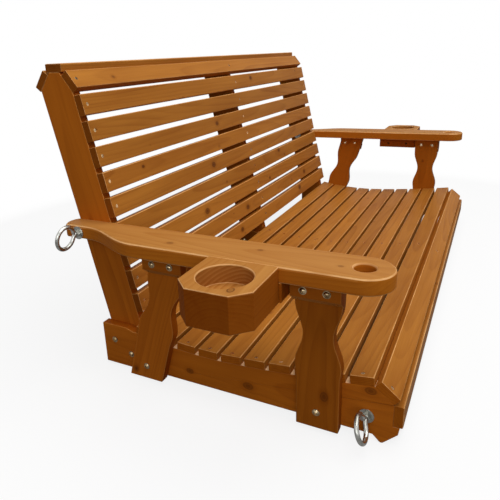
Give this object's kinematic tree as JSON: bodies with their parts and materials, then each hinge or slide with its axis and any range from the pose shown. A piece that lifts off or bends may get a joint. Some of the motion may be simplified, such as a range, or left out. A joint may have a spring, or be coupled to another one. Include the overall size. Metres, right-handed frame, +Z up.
{
  "type": "porch swing seat",
  "caption": "Roll-back slatted wooden porch swing seat with flat arms, shaped arm posts, cup holders at both arms and eye bolts for hanging chains.",
  "frame": {"origin": "centre of the part's footprint on the floor, under the middle of its bounding box", "axes": "+X along the slats to the right as seen from the front, +Y to the back, +Z up"},
  "size_m": [1.671, 0.7238, 0.6241],
  "materials": {
    "slat_wood": "oil-finished softwood, planed, eased edges",
    "frame_wood": "oil-finished softwood, sawn outlines",
    "arm_wood": "oil-finished softwood, rounded edges",
    "plated_steel": "zinc plated",
    "bolt_steel": "zinc plated",
    "screw_steel": "stainless"
  },
  "bodies": {
    "root": {"side_rail_left": "frame_wood", "side_rail_right": "frame_wood", "centre_rail": "frame_wood", "back_support_left": "frame_wood", "back_support_right": "frame_wood", "centre_back_support": "frame_wood", "seat_slat_01": "slat_wood", "seat_slat_02": "slat_wood", "seat_slat_03": "slat_wood", "seat_slat_04": "slat_wood", "seat_slat_05": "slat_wood", "seat_slat_06": "slat_wood", "seat_slat_07": "slat_wood", "seat_slat_08": "slat_wood", "seat_slat_09": "slat_wood", "seat_slat_10": "slat_wood", "nose_slat": "slat_wood", "fascia": "slat_wood", "back_slat_01": "slat_wood", "back_slat_02": "slat_wood", "back_slat_03": "slat_wood", "back_slat_04": "slat_wood", "back_slat_05": "slat_wood", "back_slat_06": "slat_wood", "back_slat_07": "slat_wood", "back_slat_08": "slat_wood", "back_slat_09": "slat_wood", "back_slat_10": "slat_wood", "cap_slat": "slat_wood", "rear_slat": "slat_wood", "front_post_left": "frame_wood", "front_post_right": "frame_wood", "rear_post_left": "frame_wood", "rear_post_right": "frame_wood", "front_cleat_left": "frame_wood", "front_cleat_right": "frame_wood", "rear_cleat_left": "frame_wood", "rear_cleat_right": "frame_wood", "arm_left": "arm_wood", "arm_right": "arm_wood", "cup_bearer_left": "arm_wood", "cup_bearer_right": "arm_wood", "cup_block_left": "arm_wood", "cup_block_right": "arm_wood", "front_eye_bolt_left": "plated_steel", "front_eye_bolt_right": "plated_steel", "rear_eye_bolt_left": "plated_steel", "rear_eye_bolt_right": "plated_steel", "eye_washers": "plated_steel", "eye_nuts": "plated_steel", "support_bolts": "bolt_steel", "post_bolts": "bolt_steel", "cleat_bolts": "bolt_steel", "frame_nuts": "bolt_steel", "seat_screws": "screw_steel", "back_screws": "screw_steel", "arm_screws": "screw_steel", "cup_screws": "screw_steel"}
  },
  "joints": []
}
